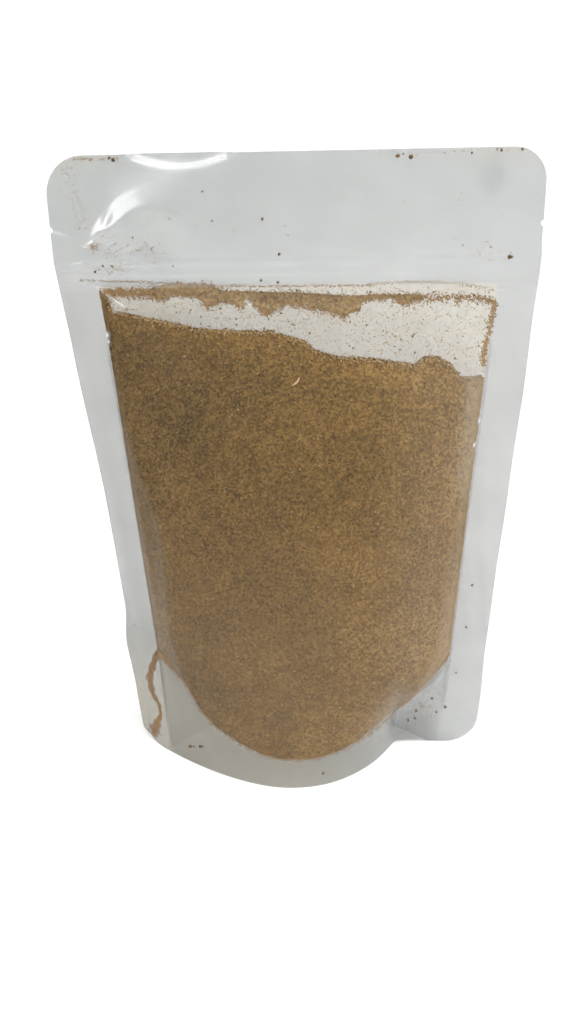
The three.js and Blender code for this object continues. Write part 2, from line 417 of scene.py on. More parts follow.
def pressed_clean(x, z):
    """1 where caught powder presses the film clean: on the band under the zip and along the strand."""
    low, high = np.interp(x, *zip(*BAND_LOW)), np.interp(x, *zip(*BAND_TOP))
    band = (np.abs(x) < 58) * ramp(z, low - 0.8, low + 0.1) * (1 - ramp(z, high - 0.1, high + 0.8))
    legs = [on_stroke(x, z, start[:2], end[:2], 1.9) for start, end in zip(STRAND, STRAND[1:])]
    return band, np.max(legs, axis=0)


def inside_seals(x, z):
    """1 between the side seals, 0 on them."""
    return 1 - ramp(np.abs(x), inner_half(z) - 0.9, inner_half(z) - 0.1)


def below_powder(x, z):
    """1 on the film that hangs below the weld of the base."""
    return 1 - ramp(z, foot_line(x) - 0.4, foot_line(x) + 0.9)


def film_look(x, z, line, front):
    """Haze, dust and whitening of the film, with painted highlights and a painted sheen. Powder covers the
    window up to line and leaves it clear. The rest is milky, mostly on the back panel, behind the specks and
    crumbs."""
    inside = inside_seals(x, z)
    window = inside * (1 - ramp(z, 166.2, 167.6)) * ramp(z, foot_line(x) - 0.6, foot_line(x) + 0.4)
    line = line - 0.7 * (1 - ramp(x, -53, -50))  # the milk reaches lower in the window's left corner
    covered = window * (1 - ramp(z, line + 0.1, line + 1.1))
    skirt = inside * below_powder(x, z) + (1 - inside) * (1 - ramp(z, 8, 66))
    right_edge = bell(x, inner_half(z) - 3.4, 3.2) * ramp(z, 96, 112) * (1 - ramp(z, 136, 152))
    left_fold_sheen = bell(x, left_fold(z) - 1, 2.2) * (1 - ramp(z, 90, 118))
    milk = np.where(window > 0.5, *(FRONT_MILK if front else BACK_MILK))
    haze = milk * (1 - covered) * (1.08 - 0.22 * ramp(x, -60, 66)) + 0.75 * skirt * (1 - ramp(x, 10, 44))
    haze += 0.2 * bell(np.hypot((x - 55) / 3.5, (z - 196) / 4.5), 0, 1)  # a smudge at the upper right
    # a paler veil along the right edge, and a painted highlight as a paler veil along the left fold
    haze += covered * (0.09 * right_edge + 0.07 * left_fold_sheen)
    # painted sheen: a paler veil over the powder towards the right and the bottom, for light reflected there
    haze += covered * (0.1 * ramp(x, 16, 48) + 0.055 * (1 - ramp(z, 40, 115)))
    stain = 0.3 * bell(z, 202, 2.5) * (ramp(x, 38, 50) + 1 - ramp(x, -62, -48))
    dust = window * (1 - covered) + right_edge * covered + 0.75 * skirt * (1 - ramp(x, -10, 40)) + stain
    white = 0.5 * torn_line(x, z) * (1 - ramp(x, -69.4, -64)) * (x < -60)
    if front:
        band, strand_line = pressed_clean(x, z)
        haze = haze * (1 - 0.75 * band) * (1 - 0.9 * strand_line)
        dust = dust * (1 - band) * (1 - strand_line)
        # painted highlights along these lines, and whitened film at the window's corner crease
        for start, end, reach, strength in WHITENED_AND_HIGHLIGHTS:
            white = np.maximum(white, strength * on_stroke(x, z, start, end, reach))
        # painted white spots; the two at the right are painted highlights
        for spot_x, spot_z, reach in WHITE_SPOTS:
            white = np.maximum(white, 0.9 * bell(np.hypot(x - spot_x, (z - spot_z) / 1.6), 0, reach))
    return np.stack([haze, np.clip(dust, 0, 1), white], axis=1)


def milk_shade(x, z):
    """Painted shade: how much darker the milk is painted, on the skirt, where the shadowed space under the
    pouch shows through, on the welds beside the powder, and a little above it, more at the left.
    """
    inside = inside_seals(x, z)
    skirt = inside * below_powder(x, z) * (1 - 0.6 * ramp(x, 22, 40))
    weld = 0.85 * (1 - inside) * (1 - ramp(z, 150 - 20 * (x > 0), 182)) * ramp(z, 25, 70)
    headspace = inside * ramp(z, 138, 142) * (1 - ramp(z, 167, 169))
    top = 0.12 * (1 - ramp(x, -62, 10)) * ramp(z, 170, 178)
    return skirt + weld + top + headspace * (0.65 * (1 - ramp(x, -45, 0)) + 0.12)


class Wire:
    """An output socket that can stand in a sum, so that shader maths reads as an expression."""

    def __init__(self, socket):
        self.socket = socket

    @staticmethod
    def node(tree, kind, settings=None, sockets=None, out=0):
        """Any node: its settings first, then a value or a link for each socket."""
        made = tree.nodes.new("ShaderNode" + kind)
        for key, value in (settings or {}).items():
            if key == "stops":
                while len(made.color_ramp.elements) < len(value):
                    made.color_ramp.elements.new(1)
                for element, (at, colour) in zip(made.color_ramp.elements, value):
                    element.position, element.color = at, (*colour, 1)
            else:
                setattr(made, key, value)
        for key, value in (sockets or {}).items():
            if isinstance(value, Wire):
                tree.links.new(value.socket, made.inputs[key])
            else:
                made.inputs[key].default_value = value
        return Wire(made.outputs[out])

    def maths(self, operation, first, second):
        return Wire.node(self.socket.id_data, "Math", {"operation": operation}, {0: first, 1: second})

    def __add__(self, other):
        return self.maths("ADD", self, other)

    def __sub__(self, other):
        return self.maths("SUBTRACT", self, other)

    def __rsub__(self, other):
        return self.maths("SUBTRACT", other, self)

    def __mul__(self, other):
        return self.maths("MULTIPLY", self, other)

    def __pow__(self, other):
        return self.maths("POWER", self, other)

    def clipped(self):
        return Wire.node(self.socket.id_data, "Clamp", None, {"Value": self})

    def between(self, low, high):
        """0 below low, 1 above high, smooth between."""
        sockets = {"Value": self, "From Min": low, "From Max": high}
        return Wire.node(self.socket.id_data, "MapRange", {"interpolation_type": "SMOOTHSTEP"}, sockets)

    __radd__ = __add__
    __rmul__ = __mul__


def srgb(*channels):
    """A colour given as 0 to 255, as linear light."""
    shares = [channel / 255 for channel in channels]
    return tuple(c / 12.92 if c <= 0.04045 else ((c + 0.055) / 1.055) ** 2.4 for c in shares)


def new_material(name):
    material = bpy.data.materials.new(name)
    material.use_nodes = True
    material.node_tree.nodes.clear()
    return material, material.node_tree


def mixed(tree, factor, first, second, blend="MIX"):
    """A colour between two. A Mix node takes colours at its sockets 6 and 7, and gives one at 2."""
    settings = {"data_type": "RGBA", "blend_type": blend}
    ends = [(*colour, 1) if isinstance(colour, tuple) else colour for colour in (first, second)]
    return Wire.node(tree, "Mix", settings, {0: factor, 6: ends[0], 7: ends[1]}, 2)


def noise(tree, scale, detail, roughness=0.55, where=None):
    """Cloudy noise on the piece's own coordinates."""
    where = where or Wire.node(tree, "TexCoord", out="Object")
    sockets = {"Vector": where, "Scale": scale, "Detail": detail, "Roughness": roughness}
    return Wire.node(tree, "TexNoise", None, sockets, "Fac")


def painted(tree, name, out="Fac"):
    """What paint stored under this name."""
    return Wire.node(tree, "Attribute", {"attribute_name": name}, out=out)


def bumped(tree, height, strength, distance):
    """A surface that stands out by up to this distance, in metres, where the height is 1."""
    sockets = {"Strength": strength, "Distance": distance, "Height": height}
    return Wire.node(tree, "Bump", None, sockets, "Normal")


def solid_face(tree, **sockets):
    """An opaque face. Its sockets are named as words, such as Base_Color."""
    named = {key.replace("_", " "): value for key, value in sockets.items()}
    return Wire.node(tree, "BsdfPrincipled", None, named)


def layered(tree, share, under, over):
    """One face over another, as much as its share says."""
    return Wire.node(tree, "MixShader", None, {"Fac": share, 1: under, 2: over})


def finished(tree, face):
    output = tree.nodes.new("ShaderNodeOutputMaterial")
    tree.links.new(face.socket, output.inputs["Surface"])


def clear_skin(tree, bump, roughness, shine):
    """A see-through face whose gloss grows at a slant, the same from either side of the thin sheet."""
    slant = Wire.node(tree, "LayerWeight", None, {"Blend": 0.5, "Normal": bump}, out="Facing")
    clear = Wire.node(tree, "BsdfTransparent", None, {"Color": (1, 1, 1, 1)})
    sockets = {"Color": (1, 1, 1, 1), "Roughness": roughness, "Normal": bump}
    return layered(tree, slant**5 * 0.25 + shine, clear, Wire.node(tree, "BsdfGlossy", None, sockets))


SEAL_GREY, DUST_CREAM, WHITENING_AND_HIGHLIGHT_WHITE = srgb(146, 149, 147), srgb(176, 168, 148), srgb(236, 237, 237)
DEEP_SHADE = (0.62, 0.6, 0.56)  # painted shade: multiplies the milk's colour where it is painted darker
LEAST_MILK, MOST_MILK = 0.002, 0.29  # how much covers the clear film, and where the haze is 1


def film_material():
    """Clear laminate: see-through, with a gloss that grows at a slant and a painted milky veil. The paint
    also whitens it, partly creased film and partly painted highlights, and darkens the milk as painted
    shade.
    """
    material, tree = new_material("clear_laminate")
    haze = Wire.node(tree, "SeparateXYZ", None, {"Vector": painted(tree, "look", "Vector")}, out="X")
    dust, whitening_and_highlight = (Wire(haze.socket.node.outputs[key]) for key in ("Y", "Z"))
    cloudy = noise(tree, 55, 2)
    dusty = dust * noise(tree, 900, 3, 0.6).between(0.25, 0.85)
    veil = (LEAST_MILK + haze * (MOST_MILK - LEAST_MILK)) * (0.88 + cloudy * 0.24)
    veil = veil + dust * 0.04 + dusty * 0.08 + whitening_and_highlight * 0.5
    colour = mixed(tree, (dust * 0.75 + dusty * 0.25).clipped(), SEAL_GREY, DUST_CREAM)
    # painted shade on the milk
    colour = mixed(tree, painted(tree, "shade"), colour, DEEP_SHADE, "MULTIPLY")
    colour = mixed(tree, whitening_and_highlight.clipped(), colour, WHITENING_AND_HIGHLIGHT_WHITE)
    bump = bumped(tree, noise(tree, 160, 2), 0.25, 0.0002)
    skin = clear_skin(tree, bump, 0.21, shine=haze * 0.042 + 0.001)
    milk = solid_face(tree, Base_Color=colour, Roughness=0.38, IOR=1.5, Normal=bump)
    finished(tree, layered(tree, veil.clipped(), skin, milk))
    return material


def dressed(piece, material):
    """Gives a finished piece its material and its place in the frame."""
    piece.data.materials.clear()
    piece.data.materials.append(material)
    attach(piece, "root")
    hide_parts("pouch")
    return piece


FILM_CLEAR = film_material()
front_panel = panel("front_panel", front_y, 1)
back_panel = panel("back_panel", back_y, -1)
for sheet, line in ((front_panel, heap_line), (back_panel, heap_back)):
    x, _, z = corners(sheet).T
    paint(sheet, "look", film_look(x, z, line(x), sheet is front_panel))
    # painted shade on the milk of both panels
    paint(sheet, "shade", milk_shade(x, z))
    dressed(sheet, FILM_CLEAR)

# ------------------------------------------------
# Base film: one strip of the same laminate, folded up between the panels and welded to them below an arc.
# The powder has pushed its fold open, so that it hangs as a shallow hammock between the two skirts.
ARC_LOW, ARC_RISE = 11.3, 0.0118  # the weld's height: low + rise * x * x
BASE_SAG = 5
BASE_COLUMNS, BASE_ROWS = 90, 90
FLAP_SHARE = 0.3  # the share of the rows on each skirt
BASE_FOOT = 0.4
BASE_INSET = 0.8
WELD_GAP = 0.03
BASE_HAZE = 0.55


def base_arc(x):
    return ARC_LOW + ARC_RISE * x * x


def base_dip(x, share):
    """How far the base film sags at x, that share of the way from the front panel to the back one."""
    return BASE_SAG * (1 - (2 * share - 1) ** 2) * (1 - np.clip(np.abs(x) / 44, 0, 1) ** 2)


def base_place(u, v):
    """Up the inside of the front skirt, across to the back one, and down again."""
    s = 2 * u - 1
    rise = np.clip(np.minimum(v, 1 - v) / FLAP_SHARE, 0, 1)
    across = ramp(v, FLAP_SHARE, 1 - FLAP_SHARE)
    z = BASE_FOOT + (base_arc(s * (half_width(BASE_FOOT) - 1)) - BASE_FOOT) * rise
    x = s * (edge_beside(s, z) - BASE_INSET)
    near = front_y(x, z) + FILM + WELD_GAP
    far = np.maximum(back_y(x, z) - FILM - WELD_GAP, near + WELD_GAP)
    y = near + (far - near) * across
    hung = (v > FLAP_SHARE) & (v < 1 - FLAP_SHARE)
    return x, y, np.where(hung, base_arc(x) - base_dip(x, across), z)


base_film = laid_grid("base_film", BASE_COLUMNS, BASE_ROWS, base_place)
applied(base_film, "SOLIDIFY", thickness=0.5 * FILM * MM, offset=-1)
smoothed(base_film)
x, _, z = corners(base_film).T
haze = BASE_HAZE * (1 - ramp(np.abs(x), inner_half(z) - 5, inner_half(z) + 1))
paint(base_film, "look", np.stack([haze, 0 * haze, 0 * haze], axis=1))
dressed(base_film, FILM_CLEAR)

# ------------------------------------------------
# Zip: two extruded strips of soft clear plastic inside the panels, whose ribs press into each other. Only
# the edges catch the light. Each is its section run across the pouch.
ZIP_RUN = 138.6
ZIP_COLUMNS = 90
FLANGE = 0.05  # its thickness
RIB, RIB_HALF = 0.1, 0.75
ZIP_GAP = 0.01
ZIP_SQUASH = 0.8
MERGE = 0.004


def closed(piece):
    """Merges the corners that meet, fills the open ends and turns the faces outwards."""
    edited(piece, lambda: bpy.ops.mesh.remove_doubles(threshold=MERGE * MM),
           lambda: bpy.ops.mesh.fill_holes(sides=0),
           lambda: bpy.ops.mesh.normals_make_consistent(inside=False))
    return piece


def strip_section():
    """A thin flange with a rounded rib; depth grows into the pouch, height runs up."""
    turn = np.linspace(0, math.pi, 7)
    bulb = [(FLANGE + RIB * math.sin(t), ZIP_TRACK - RIB_HALF * math.cos(t)) for t in turn]
    return [(0, ZIP_TOP), (0, ZIP_FOOT), (FLANGE, ZIP_FOOT)] + bulb + [(FLANGE, ZIP_TOP)]


def zip_strip(name, face_y, inward):
    """A strip just inside a panel. inward is 1 from the front panel and -1 from the back one."""
    depth, height = np.array(strip_section()).T

    def place(u, v):
        at = np.rint(v * len(depth)).astype(int) % len(depth)
        x, z = (2 * u - 1) * (ZIP_RUN / 2), height[at]
        return x, face_y(x, z) + inward * (FILM + ZIP_GAP + depth[at] * ZIP_SQUASH), z
    return closed(laid_grid(name, ZIP_COLUMNS, len(depth), place))


def zip_material():
    """Soft clear plastic, a little whiter where it is thick."""
    material, tree = new_material("zip_plastic")
    cloudy = noise(tree, 240, 3)
    bump = bumped(tree, cloudy, 0.2, 0.0001)
    skin = clear_skin(tree, bump, 0.2, shine=cloudy * 0.008)
    tint = mixed(tree, cloudy, srgb(205, 206, 205), srgb(222, 223, 222))
    milk = solid_face(tree, Base_Color=tint, Roughness=0.4, Normal=bump)
    finished(tree, layered(tree, 0.035 + cloudy * 0.03, skin, milk))
    return material


ZIP_PLASTIC = zip_material()
for strip in (zip_strip("zip_strip_front", front_y, 1), zip_strip("zip_strip_back", back_y, -1)):
    smoothed(strip)
    dressed(strip, ZIP_PLASTIC)

# ------------------------------------------------
# Powder: dried prawns ground coarse, settled against the film up to an uneven line. It is one closed lump
# just inside the film: up the front, back over the sloping top, down the back and along the base.
POWDER_INSET = FILM + 0.25  # from the panel's outer face
POWDER_COLUMNS = 200
FACE_ROWS, TOP_ROWS, FLOOR_ROWS = 150, 14, 22
POWDER_RING = 2 * FACE_ROWS + TOP_ROWS + FLOOR_ROWS
CROWN = 0.8  # how much the sloping top is rounded
SHUT = 0.9999  # beyond this share of its width the lump is closed


def ragged(x):
    """Small clods along the top of the heap."""
    return 0.3 * np.sin(1.31 * x + 0.4) + 0.25 * np.sin(2.3 * x + 1.7) + 0.15 * np.sin(3.9 * x)


def side_reach(z):
    """How far the powder reaches to each side."""
    return inner_half(z) - 0.25


def height_on(line, turn, guess):
    """Where the column at this share of the width meets a line on the panels, found step by step."""
    z = np.full_like(turn, guess)
    for _ in range(16):
        z = 0.5 * z + 0.5 * line(turn * side_reach(z))
    return z


def powder_place(u, v):
    at = np.rint(v * POWDER_RING) % POWDER_RING
    turn = packed(2 * u - 1)
    low = height_on(foot_line, turn, 20.0) + 0.3
    high = height_on(lambda x: heap_line(x) + ragged(x), turn, 150.0)
    high_back = height_on(lambda x: heap_back(x) + ragged(x), turn, 145.0)
    up = np.clip(at / FACE_ROWS, 0, 1)
    over = np.clip((at - FACE_ROWS) / TOP_ROWS, 0, 1)
    down = np.clip((at - FACE_ROWS - TOP_ROWS) / FACE_ROWS, 0, 1)
    home = np.clip((at - 2 * FACE_ROWS - TOP_ROWS) / FLOOR_ROWS, 0, 1)

    def between_panels(z, share):
        """A point at height z, and that share of the way from the front panel to the back one."""
        x = turn * side_reach(z)
        near, far = front_y(x, z), back_y(x, z)
        half = np.where(np.abs(turn) < SHUT, np.maximum((far - near) / 2 - POWDER_INSET, 0.02), 0)
        return x, (near + far) / 2 + half * (2 * share - 1), z
    on_front = between_panels(low + (high - low) * up, 0)
    on_top = between_panels(high + (high_back - high) * over + CROWN * np.sin(over * math.pi), over)
    on_back = between_panels(high_back + (low - high_back) * down, 1)
    x, y, z = between_panels(low, 1 - home)
    on_floor = x, y, z - base_dip(x, home)
    stages = [at <= FACE_ROWS, at <= FACE_ROWS + TOP_ROWS, at <= 2 * FACE_ROWS + TOP_ROWS]
    return [np.select(stages, places, last) for *places, last in zip(on_front, on_top, on_back, on_floor)]


def pale_meal_and_light(x, z):
    """How much paler the meal is: little at the left, more at the right and below. Partly pale fine meal
    among the grains, and partly painted light: lighter towards the right, where the light comes from.
    """
    drift = 0.75 * ramp(x + 0.25 * (100 - z), -70, 75) - 0.55
    strip = bell(x, inner_half(z) - 4, 4) * ramp(z, 90, 108) * (1 - ramp(z, 138, 150))
    low, top = 0.42 * (1 - ramp(z, 12, 115)), 0.3 * bell(z, heap_line(x) - 1, 6)
    return drift + 0.5 * strip + low + top + 0.4 * ramp(x, 8, 48)


# where each shade of the meal lies on its colour ramp, its share of the tone, and what is added to it
MEAL_SHADES = [(0.1, 0.6, 0), (0.34, 0.84, 0), (0.52, 1, 0), (0.7, 1.14, 0), (0.92, 1.2, 14)]


def powder_material(name, tone, grain=1.0):
    """Ground dried prawn: tan meal with dark and pale grains, matt, each grain standing out a little."""
    material, tree = new_material(name)
    where = Wire.node(tree, "TexCoord", out="Object")
    sockets = {"Vector": where, "Scale": 1700 / grain, "Randomness": 1.0}
    cell = Wire.node(tree, "TexVoronoi", None, sockets, out="Color")
    pick = Wire.node(tree, "SeparateXYZ", None, {"Vector": cell}, out="X")
    fine = noise(tree, 1300 / grain, 2, 0.6, where)
    lumps = noise(tree, 230, 3, 0.6, where)
    broad = noise(tree, 38, 2, 0.5, where)
    mottle = (pick * 0.5 + fine * 0.2 + lumps * 0.4 + broad * 0.5 - 0.8) * 0.95 + 0.5
    # the painted paleness, partly fine meal and partly painted light, lifts the tone
    mix = (mottle + painted(tree, "fines") * 0.34).clipped()
    stops = [(at, srgb(*(share * c + added for c in tone))) for at, share, added in MEAL_SHADES]
    colour = Wire.node(tree, "ValToRGB", {"stops": stops}, {"Fac": mix})
    bump = bumped(tree, fine * 0.6 + pick * 0.4 + lumps * 0.5, 0.35, 0.0003)
    finished(tree, solid_face(tree, Base_Color=colour, Roughness=0.82 + fine * 0.14,
                              Specular_IOR_Level=0.25, Normal=bump))
    return material


MEAL = powder_material("ground_prawn", (97, 75, 41))
powder = closed(laid_grid("powder", POWDER_COLUMNS, POWDER_RING, powder_place))
lumpy = bpy.data.textures.new("powder_lumps", "CLOUDS")
lumpy.noise_scale = 1.6 * MM
lumpy.noise_depth = 2
applied(powder, "DISPLACE", texture=lumpy, texture_coords="OBJECT", strength=0.34 * MM, mid_level=0.9)
smoothed(powder, 60)
x, _, z = corners(powder).T
# paleness of the powder: partly fine meal, partly painted light from the right
paint(powder, "fines", pale_meal_and_light(x, z))
dressed(powder, MEAL)

# ------------------------------------------------
# Loose grains: the coarser bits of meal, pale flakes of shell and dark specks, pressed against the film and
# over the sloping top. One grain of each shape is made and strewn, each copy turned and sized by chance.
chance = np.random.default_rng(17)
FACE_LOW, FACE_HIGH, FACE_HALF = 12, 166, 56  # the part of a panel on which grains are strewn
LEAST_ROOM = 2  # between the panels, for a grain to lie there


def facing(surface, x, z):
    """Unit vectors that point from a panel into the pouch, found from its slope."""
    step = 0.4
    sign = 1 if surface is front_y else -1
    slope_x = (surface(x + step, z) - surface(x - step, z)) / (2 * step)
    slope_z = (surface(x, z + step) - surface(x, z - step)) / (2 * step)
    across = np.stack([-slope_x, np.ones_like(x), -slope_z], axis=1) * sign
    return across / np.linalg.norm(across, axis=1, keepdims=True)


def random_turns(count):
    """A random rotation matrix for each grain."""
    quaternions = chance.normal(size=(count, 4))
    w, x, y, z = (quaternions / np.linalg.norm(quaternions, axis=1, keepdims=True)).T
    return np.array([[1 - 2 * (y * y + z * z), 2 * (x * y - z * w), 2 * (x * z + y * w)],
                     [2 * (x * y + z * w), 1 - 2 * (x * x + z * z), 2 * (y * z - x * w)],
                     [2 * (x * z - y * w), 2 * (y * z + x * w), 1 - 2 * (x * x + y * y)]]).transpose(2, 0, 1)


def one_grain(stretch):
    """A little angular crumb: an icosahedron knocked out of true. Its size is about 1."""
    select_only()
    bpy.ops.mesh.primitive_ico_sphere_add(subdivisions=1, radius=0.5)
    grain = bpy.context.object
    edited(grain, lambda: bpy.ops.transform.vertex_random(offset=0.13, seed=5),
           lambda: bpy.ops.transform.resize(value=stretch))
    shape = np.array([vertex.co[:] for vertex in grain.data.vertices])
    faces = np.array([face.vertices[:] for face in grain.data.polygons])
    bpy.data.objects.remove(grain)
    return shape, faces


def strewn(name, grain, centres, sizes, material):
    """One mesh with a copy of the grain at each centre."""
    shape, faces = grain
    turned = np.einsum("nij,kj->nki", random_turns(len(centres)), shape)
    points = turned * sizes[:, None, None] + centres[:, None, :]
    corners_of = faces[None] + np.arange(len(centres))[:, None, None] * len(shape)
    mesh = bpy.data.meshes.new(name)
    mesh.from_pydata((points.reshape(-1, 3) * MM).tolist(), [], corners_of.reshape(-1, 3).tolist())
    piece = bpy.data.objects.new(name, mesh)
    bpy.context.collection.objects.link(piece)
    x, _, z = centres.T
    # each grain's tone is random, plus the powder's paleness, which is partly painted light
    tones = chance.random(len(centres)) + 0.5 * pale_meal_and_light(x, z)
    paint(piece, "tone", np.repeat(tones, len(shape)))
    return dressed(piece, material)


def on_face(count, surface, sizes, sink):
    """Random places just inside a panel, where the powder touches it."""
    x = chance.uniform(-FACE_HALF, FACE_HALF, count * 3)
    z = chance.uniform(FACE_LOW, FACE_HIGH, count * 3)
    line = heap_line(x) if surface is front_y else heap_back(x)
    room = back_y(x, z) - front_y(x, z) > LEAST_ROOM
    keep = (z < line) & (z > foot_line(x) + 0.5) & (np.abs(x) < inner_half(z) - 0.9) & room
    x, z = x[keep][:count], z[keep][:count]
    sizes = sizes[: len(x)]
    inward = facing(surface, x, z)
    skin = np.stack([x, surface(x, z), z], axis=1)
    return skin + inward * (FILM + 0.06 + sizes * 0.5 + sink)[:, None], sizes


def on_top(count, sizes):
    """Random places over the sloping top of the heap."""
    x = chance.uniform(-54, 55, count)
    part = chance.uniform(0.03, 0.97, count)
    line, low = heap_line(x), heap_back(x)
    near = front_y(x, line) + FILM + 0.4
    far = back_y(x, low) - FILM - 0.4
    y = near + (far - near) * part
    z = line + (low - line) * part + CROWN * np.sin(part * math.pi) + sizes * 0.15
    keep = far - near > 1.2
    return np.stack([x, y, z], axis=1)[keep], sizes[keep]


def grain_material(name, dark, pale):
    """A crumb's own colour lies between two, by its tone, with a fine mottle over it."""
    material, tree = new_material(name)
    fine = noise(tree, 2600, 2)
    share = (painted(tree, "tone") * 0.8 + fine * 0.4 - 0.1).clipped()
    colour = mixed(tree, share, srgb(*dark), srgb(*pale))
    finished(tree, solid_face(tree, Base_Color=colour, Roughness=0.8 + fine * 0.15, Specular_IOR_Level=0.3,
                              Normal=bumped(tree, fine, 0.4, 0.0001)))
    return material


MEAL_GRAIN = grain_material("meal_grain", (80, 60, 32), (113, 88, 52))
SHELL_FLAKE = grain_material("shell_flake", (122, 99, 66), (150, 126, 90))
DARK_SPECK = grain_material("dark_speck", (72, 53, 28), (90, 68, 37))
TAN_CRUMB = grain_material("tan_crumb", (108, 84, 52), (142, 115, 78))
BROWN_SPECK = grain_material("brown_speck", (58, 42, 22), (98, 72, 40))

crumb = one_grain((1, 1, 0.8))
flake = one_grain((1.5, 0.8, 0.3))
# name, shape, how many, smallest and largest size, how much deeper than the film each lies, and material
FACE_GRAINS = [("meal_grains", crumb, 9400, 0.35, 0.85, 0.0, MEAL_GRAIN),
               ("shell_flakes", flake, 1500, 0.3, 0.65, -0.06, SHELL_FLAKE),
               ("dark_specks", crumb, 3800, 0.3, 0.65, -0.03, DARK_SPECK)]
TOP_GRAINS = [("meal_grains_top", crumb, 4200, 0.4, 1.1, MEAL_GRAIN),
              ("shell_flakes_top", flake, 700, 0.4, 0.9, SHELL_FLAKE)]
for face_name, face in (("front", front_y), ("back", back_y)):
    for name, shape, count, smallest, largest, sink, material in FACE_GRAINS:
        centres, sizes = on_face(count, face, chance.uniform(smallest, largest, count), sink)
        strewn(f"{name}_{face_name}", shape, centres, sizes, material)
for name, shape, count, smallest, largest, material in TOP_GRAINS:
    centres, sizes = on_top(count, chance.uniform(smallest, largest, count))
    strewn(name, shape, centres, sizes, material)

# ------------------------------------------------
# Caught powder: meal that was thrown up in filling and is pressed between the panels, as a ragged band
# under the zip and a strand in the lower left weld, and a splinter of shell. Each is a thin closed lump.
BAND_SPANS = [(-44, 38.6), (45.6, 47.6), (52, 57.9)]  # where the band is whole, from x to x
BAND_STEPS = 3.5  # columns for each millimetre
BAND_TONE, STRAND_TONE = (111, 91, 61), (118, 86, 44)


def lump(name, columns, ring, outline, depth, thickness):
    """A thin lump behind the front panel. outline(u) gives its low and high edge as two points (x, z)."""
    def place(u, v):
        at = np.rint(v * ring) % ring / ring
        (x_low, z_low), (x_high, z_high) = outline(u)
        share = 1 - np.abs(2 * at - 1)
        x = x_low + (x_high - x_low) * share
        z = z_low + (z_high - z_low) * share
        swell = np.sqrt(np.clip(4 * share * (1 - share), 0, 1) * np.clip(1 - (2 * u - 1) ** 6, 0, 1))
        side = np.where(at > 0.5, 0.5, -0.5)
        return x, front_y(x, z) + depth + thickness * (0.5 + swell * side), z
    return closed(laid_grid(name, columns, ring, place))


def joined(name, pieces):
    select_only(*pieces)
    bpy.ops.object.join()
    pieces[0].name = pieces[0].data.name = name
    return pieces[0]


def band_outline(start, end):
    """The ragged edges of one stretch of the band, which narrow to a point at both ends."""
    def outline(u):
        x = start + (end - start) * u
        low = np.interp(x, *zip(*BAND_LOW)) + 0.7 * ragged(1.7 * x) + 0.3 * ragged(5.3 * x)
        high = np.interp(x, *zip(*BAND_TOP)) + 0.4 * ragged(2.3 * x)
        low = np.minimum(low, high - 0.3)
        centre, pinch = (low + high) / 2, np.clip(np.minimum(x - start, end - x) / 2.4, 0, 1) ** 0.8
        return (x, centre + (low - centre) * pinch), (x, centre + (high - centre) * pinch)
    return outline


def band_part(start, end):
    columns = max(8, round(BAND_STEPS * (end - start)))
    return lump("band", columns, 16, band_outline(start, end), FILM + 0.03, 0.5)


band = joined("caught_band", [band_part(start, end) for start, end in BAND_SPANS])
paint(band, "fines", np.full(len(band.data.vertices), 0.15))
smoothed(band, 60)
dressed(band, powder_material("caught_band_meal", BAND_TONE))


def strand_outline(u):
    """The two edges of the strand, which wanders down through the weld."""
    along = u * (len(STRAND) - 1)
    xs, zs, widths = np.array(STRAND).T
    steps = np.arange(len(STRAND))
    x, z, width = (np.interp(along, steps, values) for values in (xs, zs, widths))
    ahead_x, ahead_z = np.interp(along + 0.3, steps, xs), np.interp(along + 0.3, steps, zs)
    behind_x, behind_z = np.interp(along - 0.3, steps, xs), np.interp(along - 0.3, steps, zs)
    run_x, run_z = ahead_x - behind_x, ahead_z - behind_z
    length = np.hypot(run_x, run_z)
    half = width / 2 * (1 + 0.25 * np.sin(along * 9))
    off_x, off_z = -run_z / length * half, run_x / length * half
    return (x - off_x, z - off_z), (x + off_x, z + off_z)


strand = lump("caught_strand", 90, 8, strand_outline, FILM + 0.005, 0.07)
smoothed(strand, 60)
dressed(strand, powder_material("caught_meal", STRAND_TONE, grain=0.7))


def sliver_outline(u):
    """A curved splinter, pointed at both ends."""
    x, z = -1.2 + 2.4 * u + 0.5 * np.sin(u * math.pi), 139.7 + 2.5 * u
    half = 0.34 * np.sin(u * math.pi) ** 0.6
    return (x - half * 0.7, z + half * 0.7), (x + half * 0.7, z - half * 0.7)


sliver = lump("shell_splinter", 20, 8, sliver_outline, FILM + 0.01, 0.3)
paint(sliver, "tone", np.linspace(0, 1, len(sliver.data.vertices)))
smoothed(sliver, 60)
dressed(sliver, grain_material("shell_splinter", (146, 118, 82), (172, 144, 106)))

# ------------------------------------------------
# Dust: single grains that cling where the powder itself doesn't reach. They lie in the empty top of the
# window, along the zip and the top edge, at the right edge and in the lower corners.
DUST_DEPTH = FILM + 0.12  # behind the front panel's outer face
DEEPER = DUST_DEPTH + 0.1


def along(points, count, spread):
    """Random places near a line through the points."""
    xs, zs = np.array(points, dtype=float).T
    lengths = np.concatenate([[0], np.cumsum(np.hypot(np.diff(xs), np.diff(zs)))])
    at = chance.uniform(0, lengths[-1], count)
    wander = chance.normal(0, spread, (2, count))
    return np.interp(at, lengths, xs) + wander[0], np.interp(at, lengths, zs) + wander[1]


def dusted(name, x, z, sizes, material, depth=DUST_DEPTH):
    """Grains at this depth behind the front panel's outer face. Below 0 they lie on the outside."""
    strewn(name, crumb, np.stack([x, front_y(x, z) + depth, z], axis=1), sizes, material)


def dusted_line(name, points, count, spread, smallest, largest, material):
    x, z = along(points, count, spread)
    dusted(name, x, z, chance.uniform(smallest, largest, count), material)


